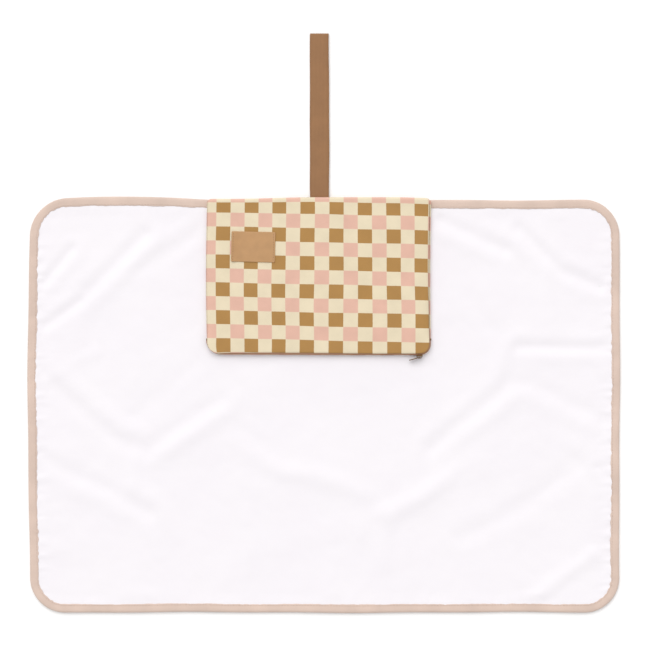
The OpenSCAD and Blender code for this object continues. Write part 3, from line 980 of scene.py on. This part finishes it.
def zip_place(s):
    """Place on the pouch's rim and the direction outward, s metres along the zip from its start."""
    return outline_place(POUCH_LO[0], POUCH_LO[1] + START_R, -math.pi / 2, ZIP_PATH, s)


# The zip tape's outline in mm: out from the rim, and up from the pouch's middle
ZIP_TAPE = [(-3.6, 1.7), (-1.6, 1.7), (-0.5, 1.55), (0.3, 1.15),
            (0.3, 0.9), (-0.5, 1.25), (-1.6, 1.4), (-3.6, 1.4)]


def zip_tape(node, sign):
    """One woven tape of the zip, from inside the pouch out over the rim to its coil."""
    steps = 150
    rings = []
    for k in range(steps + 1):
        (px, py), (nx, ny) = zip_place(ZIP_LENGTH * k / steps)
        rings.append([(px + nx * out * MM, py + ny * out * MM, POUCH_ZC + sign * up * MM)
                      for out, up in ZIP_TAPE])
    rings = np.array(rings)
    rings[..., 0], rings[..., 1] = slack(rings[..., 0], rings[..., 1])
    stand_in(sweep(node + "_piece", rings if sign > 0 else rings[:, ::-1], TAPE), "pouch", node)


def zip_coil(node, sign):
    """One row of the zip: a fine nylon spiral along the rim."""
    lo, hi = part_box(node)
    middle = (lo[2] + hi[2]) / 2 - sign * 0.08 * MM
    reach = 0.8 * (POUCH_LO[1] - lo[1])
    turn_length, per_turn = 1.45 * MM, 10
    thread_r = 0.27 * MM
    turns = int((ZIP_LENGTH - 0.6 * MM) / turn_length)
    centres = []
    for k in range(turns * per_turn + 1):
        (px, py), (nx, ny) = zip_place(0.3 * MM + k * turn_length / per_turn)
        angle = 2 * math.pi * k / per_turn + (0 if sign > 0 else math.pi)
        out = reach / 2 + (reach / 2 - thread_r) * math.cos(angle)
        centres.append((px + nx * out, py + ny * out, middle + 0.34 * MM * math.sin(angle)))
    centres = np.array(centres)
    centres[:, 0], centres[:, 1] = slack(centres[:, 0], centres[:, 1])
    along = np.gradient(centres, axis=0)
    along /= np.linalg.norm(along, axis=1, keepdims=True)
    side = np.cross(along, (0, 0, 1))
    side /= np.linalg.norm(side, axis=1, keepdims=True)
    rings = tube(centres, side, np.cross(side, along), (thread_r, thread_r), 6)
    stand_in(sweep(node + "_piece", rings, NYLON), "pouch", node)


def add_block(bm, low, high, bevel):
    """A block with rounded edges, added to bm."""
    size = [h - l for l, h in zip(low, high)]
    centre = [(h + l) / 2 for l, h in zip(low, high)]
    place = Matrix.Translation(centre) @ Matrix.Diagonal((*size, 1))
    made = bmesh.ops.create_cube(bm, size=1, matrix=place)
    edges = list({e for v in made["verts"] for e in v.link_edges})
    bmesh.ops.bevel(bm, geom=edges, offset=bevel, segments=3, affect="EDGES", profile=0.5)


def block_object(name, blocks, bevel, material):
    """An object made of rounded blocks, given by their lowest and highest corners."""
    bm = bmesh.new()
    for low, high in blocks:
        add_block(bm, low, high, bevel)
    return bmesh_object(name, bm, material)


def cut_plate(outlines, thickness, bevel):
    """Mesh of a flat plate with rounded edges: the first outline is its rim and the others are holes."""
    curve = bpy.data.curves.new("plate", "CURVE")
    curve.dimensions = "2D"
    curve.fill_mode = "BOTH"
    curve.extrude = thickness / 2 - bevel
    curve.bevel_depth = bevel
    curve.bevel_resolution = 2
    curve.offset = -bevel
    for outline in outlines:
        spline = curve.splines.new("POLY")
        spline.points.add(len(outline) - 1)
        for point, (x, y) in zip(spline.points, outline):
            point.co = (x, y, 0, 1)
        spline.use_cyclic_u = True
    holder = bpy.data.objects.new("plate", curve)
    bpy.context.scene.collection.objects.link(holder)
    mesh = bpy.data.meshes.new_from_object(holder.evaluated_get(bpy.context.evaluated_depsgraph_get()))
    bpy.data.objects.remove(holder)
    bm = bmesh.new()
    bm.from_mesh(mesh)
    bmesh.ops.remove_doubles(bm, verts=bm.verts, dist=0.005 * MM)
    bmesh.ops.recalc_face_normals(bm, faces=bm.faces)
    bm.to_mesh(mesh)
    bm.free()
    return mesh


def circle_points(cx, cy, r, start=0, end=360, count=20):
    """Places along an arc, in degrees."""
    turn = [math.radians(start + (end - start) * k / count) for k in range(count + (end - start < 360))]
    return [(cx + r * math.cos(t), cy + r * math.sin(t)) for t in turn]


def plate_object(name, meshes, material):
    """One object from several meshes already in place, with its sharp edges kept."""
    bm = bmesh.new()
    for mesh in meshes:
        bm.from_mesh(mesh)
    obj = bmesh_object(name, bm, material)
    obj.modifiers.new("edges", "EDGE_SPLIT").split_angle = math.radians(50)
    return obj


def shield(half_l, front_half, back_half, corner):
    """Outline of a slider's plate, wider at its front, with rounded corners."""
    corners = [(half_l, front_half), (-half_l, back_half), (-half_l, -back_half), (half_l, -front_half)]
    out = []
    for k, (x, y) in enumerate(corners):
        cx, cy = x - math.copysign(corner, x), y - math.copysign(corner, y)
        out += circle_points(cx, cy, corner, 90 * k, 90 * k + 90, 6)
    return out


UPRIGHT = Matrix.Rotation(math.pi / 2, 4, "X")  # turns a plate's face to the zip's outer side


def bridge_rings(cx, outer_y, height):
    """Rings of the slider's arched bridge, a band that stands out from the outer plate."""
    steps = 12
    arch = []
    for k in range(steps + 1):
        angle = math.pi * k / steps
        c, d = math.cos(angle), max(math.sin(angle), 0)
        arch.append((-2.65 * MM * math.copysign(abs(c) ** 0.5, c), -height * 0.89 * d**0.5))
    arch = np.array(arch)
    along = arch[[*range(1, steps + 1), steps]] - arch[[0, *range(steps)]]
    side = np.column_stack([along[:, 1], -along[:, 0], 0 * along[:, 0]])
    side /= np.linalg.norm(side, axis=1, keepdims=True)
    centres = np.column_stack([arch + (cx, outer_y + 0.1 * MM), np.full(steps + 1, POUCH_ZC)])
    return tube(centres, side, (0, 0, 1), (0.3 * MM, 0.72 * MM), start=math.pi / 8)


def slider():
    """Die-cast slider: two shield-shaped plates, lips, divider and an arched bridge."""
    lo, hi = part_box("zip_slider")
    cx = (lo[0] + hi[0]) / 2
    half_l = (hi[0] - lo[0]) / 2
    bridge_h = 2.7 * MM
    plate_t = 1.0 * MM
    outer_y = lo[1] + bridge_h

    def plate(front_half, back_half, corner, bevel, y):
        mesh = cut_plate([shield(half_l, front_half * MM, back_half * MM, corner * MM)], plate_t, bevel * MM)
        mesh.transform(Matrix.Translation((cx, y, POUCH_ZC)) @ UPRIGHT)
        return mesh

    outer = plate(2.8, 2.3, 1.0, 0.25, outer_y + plate_t / 2)
    inner = plate(1.6, 1.4, 0.8, 0.2, hi[1] - plate_t / 2)
    bridge = sweep("bridge", bridge_rings(cx, outer_y, bridge_h), BRONZE)
    divider = ((hi[0] - 2.6 * MM, outer_y + 0.5 * MM, POUCH_ZC - 0.2 * MM),
               (hi[0] - 0.5 * MM, hi[1] - 0.5 * MM, POUCH_ZC + 0.2 * MM))
    lips = [((cx - half_l * 0.8, outer_y + 0.3 * MM, POUCH_ZC + low * MM),
             (cx + half_l * 0.9, outer_y + 1.45 * MM, POUCH_ZC + high * MM))
            for low, high in ((2.25, 2.6), (-2.6, -2.25))]
    neck = block_object("neck", [divider, *lips], 0.08 * MM, BRONZE)
    piece = plate_object("zip_slider_piece", [outer, inner, bridge.data, neck.data], BRONZE)
    for made in (bridge, neck):
        bpy.data.objects.remove(made)
    stand_in(piece, "slider", "zip_slider")


def pull_tab():
    """Pull tab: a pin under the bridge, two arms, and a tapering tongue with a hole."""
    pivot = joint("pull_swing")["pos_m"]
    lean = math.radians(15)
    half, eye, tip, thick = 2.4 * MM, 5.0 * MM, 14 * MM, 1.0 * MM
    arm, corner, end_r = 1.15 * MM, 0.5 * MM, 1.9 * MM
    outline = circle_points(0, half - corner, corner, 0, 90, 4)
    outline += [(-eye, half)]
    outline += circle_points(-tip + end_r, 0, end_r, 90, 270, 14)
    outline += [(-eye, -half)]
    outline += circle_points(0, -half + corner, corner, 270, 360, 4)
    inside = half - arm
    window = [(-0.7 * MM, inside), (-eye + 0.2 * MM, inside), (-eye, 0), (-eye + 0.2 * MM, -inside),
              (-0.7 * MM, -inside)]
    hole = circle_points(-tip + 2.4 * MM, 0, 0.8 * MM)
    plate = cut_plate([outline, window, hole], thick, 0.2 * MM)
    plate.transform(Matrix.Translation(pivot) @ Matrix.Rotation(lean, 4, "Z") @ UPRIGHT)
    stand_in(plate_object("zip_pull_tab_piece", [plate], BRONZE), "pull_tab", "zip_pull_tab")


def zip_stops():
    """Crimped stops where the zip starts and ends."""
    gap = 0.5 * MM
    for node in ("zip_bottom_stop", "zip_top_stops"):
        lo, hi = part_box(node)
        middle = (lo[2] + hi[2]) / 2
        blocks = [(lo, hi)]
        if node == "zip_top_stops":
            blocks = [(lo, (hi[0], hi[1], middle - gap)), ((lo[0], lo[1], middle + gap), hi)]
        stand_in(block_object(node + "_piece", blocks, 0.25 * MM, BRONZE), "pouch", node)


def label():
    """Leather patch that lies on the pouch's front, slightly lifted at its left end, with its stitches."""
    lo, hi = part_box("label_patch")
    centre = ((lo[0] + hi[0]) / 2, (lo[1] + hi[1]) / 2)
    tilt = math.radians(-1.3)
    half_w, half_h, r = 26 * MM, 18 * MM, 1.5 * MM
    thick = hi[2] - lo[2]
    sewn_in = 2.1 * MM
    fine = [0.35 * MM, 0.8 * MM, 1.5 * MM]
    ga, gb = np.meshgrid(*(fine_ends(-half, half, fine, [], 1.6 * MM) for half in (half_w, half_h)))
    a, b = round_corners(ga, gb, half_w, half_h, r)
    gap = np.minimum(half_w - np.abs(ga), half_h - np.abs(gb))

    def on_pouch(a, b):
        """Place on the pouch's front under a place on the label."""
        x = centre[0] + a * math.cos(tilt) - b * math.sin(tilt)
        y = centre[1] + a * math.sin(tilt) + b * math.cos(tilt)
        return x, y, POUCH_Z1 + pouch_crown(x, y)

    def lifted(a, b):
        """Height by which the leather lies off the cloth."""
        return 1.1 * MM * smooth((-a / half_w - 0.6) / 0.4) ** 1.5 + 0.06 * MM * wave_noise(a, b, 9 * MM, 31)

    x, y, z = on_pouch(a, b)
    lift = lifted(a, b)
    pressed = np.exp(-(((half_w - np.abs(ga) - sewn_in) / (0.7 * MM)) ** 2)) * 0.22 * MM
    top = z + thick + lift - pressed - (1 - rounded(gap, 0.55 * MM)) * 0.5 * MM
    low = z + 0.02 * MM + np.maximum(lift, 0)
    piece = shell("label_patch_piece", np.dstack([x, y, top]), np.dstack([x, y, low]), LEATHER,
                  np.dstack([a, b]))
    stand_in(piece, "pouch", "label_patch")
    verts, faces = [], []
    count, pitch, length, width = 11, 3.0 * MM, 2.2 * MM, 0.55 * MM
    for side in (-1, 1):
        for k in range(count):
            faces += stitch_faces(len(verts), True)
            for e, w, h in STITCH:
                pa = side * (half_w - sewn_in) + w * width / 2
                pb = (k - (count - 1) / 2) * pitch + e * length / 2
                px, py, pz = on_pouch(pa, pb)
                height = pz + thick - 0.12 * MM + lifted(pa, pb) + (-0.1, 0.05, 0.28)[h] * MM
                verts.append((px, py, float(height)))
    sewn = mesh_object("label_stitches_piece", verts, faces, LABEL_THREAD)
    stand_in(sewn, "pouch", "label_stitches")


def hinge_strip():
    """Strip of the check cloth sewn along the binding, rising at its end into the pouch's rolled edge."""
    lo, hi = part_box("pouch_hinge_strip")
    reach = POUCH_HI[1] + 1.8 * MM
    near = POUCH_HI[1] - 2 * MM
    xs = grid_lines([lo[0], hi[0]], 3 * MM)
    ys = np.concatenate([grid_lines([lo[1], near], 1.5 * MM), grid_lines([near, reach], 0.5 * MM)[1:]])
    gx, gy = np.meshgrid(xs, ys)
    rise = 0.55 * MM * smooth((gy - POUCH_HI[1] + 1.0 * MM) / (2.6 * MM))
    top = lo[2] + 0.38 * MM + rise + 0.03 * MM * wave_noise(gx, gy, 8 * MM, 41)
    x, y = slack(gx, gy)
    piece = shell("pouch_hinge_strip_piece", np.dstack([x, y, top]), np.dstack([x, y, top - 0.36 * MM]),
                  CHECK, print_place(gx, gy))
    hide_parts("pouch_hinge_strip")
    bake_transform(piece)


def pouch():
    """Every piece of the pouch."""
    lining_t, lining_inset = 0.4 * MM, 0.7 * MM
    pouch_panel(-0.4 * MM, 0, PANEL_T, 1, CHECK, "pouch_front_panel", "pouch_top_fold")
    pouch_panel(1.4 * MM, 0, PANEL_T, -1, CHECK, "pouch_back_panel")
    pouch_panel(-1.1 * MM, lining_inset, lining_t, 1, LINING, "pouch_front_lining")
    pouch_panel(-0.7 * MM, lining_inset, lining_t, -1, LINING, "pouch_back_lining")
    side_seam("pouch_left_seam")
    side_seam("pouch_right_seam")
    zip_tape("zip_tape_front", 1)
    zip_tape("zip_tape_back", -1)
    zip_coil("zip_coil_front", 1)
    zip_coil("zip_coil_back", -1)
    zip_stops()
    slider()
    pull_tab()
    label()
    hinge_strip()


pouch()


# ---- The elastic loop ----

def elastic_loop():
    """Doubled elastic: one band out from the binding, round a tight turn and back."""
    lo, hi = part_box("strap_loop")
    sewn_lo, sewn_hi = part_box("strap_anchor")
    thick = (sewn_hi[2] - sewn_lo[2]) / 2
    half = (hi[0] - lo[0]) / 2
    middle = (hi[0] + lo[0]) / 2
    turn_r = (hi[2] - lo[2]) / 2 - thick / 2
    turn_y = hi[1] - turn_r - thick / 2
    spread = 16 * MM
    bend_y = lo[1] + 16 * MM
    ys = np.concatenate([grid_lines([sewn_lo[1], bend_y], 0.8 * MM),
                         grid_lines([bend_y, turn_y], 2.4 * MM)[1:]])
    free = smooth((ys - sewn_hi[1]) / spread)
    low_z = sewn_lo[2] + thick / 2 + free * (lo[2] - sewn_lo[2])
    high_z = sewn_lo[2] + 1.5 * thick + free * (hi[2] - sewn_lo[2] - 2 * thick)
    sway = 0.35 * MM * np.sin((ys - sewn_hi[1]) / 0.045) * free
    share = np.arange(1, 8) / 8
    turn = math.pi * (share - 0.5)
    centre = np.concatenate([
        np.column_stack([middle - 0.5 * MM * free, ys, low_z]),
        np.column_stack([middle - 0.3 * MM * (1 - share), turn_y + turn_r * np.cos(turn),
                         (lo[2] + hi[2]) / 2 + turn_r * np.sin(turn)]),
        np.column_stack([middle + 0.2 * MM + sway, ys, high_z])[::-1],
    ])
    along = np.gradient(centre[:, 1:], axis=0)
    along /= np.linalg.norm(along, axis=1, keepdims=True)
    length = np.concatenate([[0], np.cumsum(np.linalg.norm(np.diff(centre, axis=0), axis=1))])
    e = thick / 2
    rim = [(-half + 0.35 * e, -e), (-half * 0.6, -e), (0, -e), (half * 0.6, -e), (half - 0.35 * e, -e),
           (half, -0.55 * e), (half, 0.55 * e)]
    section = rim + [(-a, -b) for a, b in rim]
    rings, uvs = [], []
    for (x, y, z), (ty, tz), s in zip(centre, along, length):
        rib = 1 + 0.012 * math.sin(s / (13 * MM))
        rings.append([(x + a * rib, y - tz * b, z + ty * b) for a, b in section])
        uvs.append([(a, s) for a, _ in section])
    piece = sweep("elastic_loop_piece", np.array(rings), ELASTIC, np.array(uvs))
    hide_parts("strap_loop", "strap_anchor")
    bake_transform(piece)


elastic_loop()


# ---- Floor, light and camera ----

SKY_STRENGTH = 0.78
SUN_ENERGY = 1.75
SUN_PLACE = (-0.4, 1.3, 1.6)
CAMERA_HEIGHT = 3.2
VIEW_SHARE = 1.101  # width of the view as a share of the object's


def studio():
    """Plain pale floor, soft light from all round with a little more from the upper left, and the camera."""
    scene = bpy.context.scene
    bpy.ops.mesh.primitive_plane_add(size=60, location=(0, 0, -0.3 * MM))
    floor = bpy.context.object
    floor.name = "floor"
    floor.data.materials.append(Shader("floor", 0.9).base((0.93, 0.93, 0.93, 1)))
    scene.world = bpy.data.worlds.new("studio")
    scene.world.use_nodes = True
    sky = scene.world.node_tree.nodes["Background"]
    sky.inputs[0].default_value = (1, 1, 1, 1)
    sky.inputs[1].default_value = SKY_STRENGTH
    sun = bpy.data.lights.new("softbox", "SUN")
    sun.energy = SUN_ENERGY
    sun.angle = math.radians(55)
    lamp = bpy.data.objects.new("softbox", sun)
    scene.collection.objects.link(lamp)
    lamp.location = SUN_PLACE
    lamp.rotation_mode = "QUATERNION"
    lamp.rotation_quaternion = (-lamp.location).to_track_quat("-Z", "Y")
    low, high = cad_box
    camera = bpy.data.cameras.new("camera")
    camera.sensor_width = 36
    camera.lens = camera.sensor_width * CAMERA_HEIGHT / (VIEW_SHARE * (high[0] - low[0]))
    eye = bpy.data.objects.new("camera", camera)
    scene.collection.objects.link(eye)
    eye.location = (-1.2 * MM, (low[1] + high[1]) / 2 - 1.4 * MM, CAMERA_HEIGHT)
    scene.camera = eye
    scene.view_settings.view_transform = "Standard"


studio()
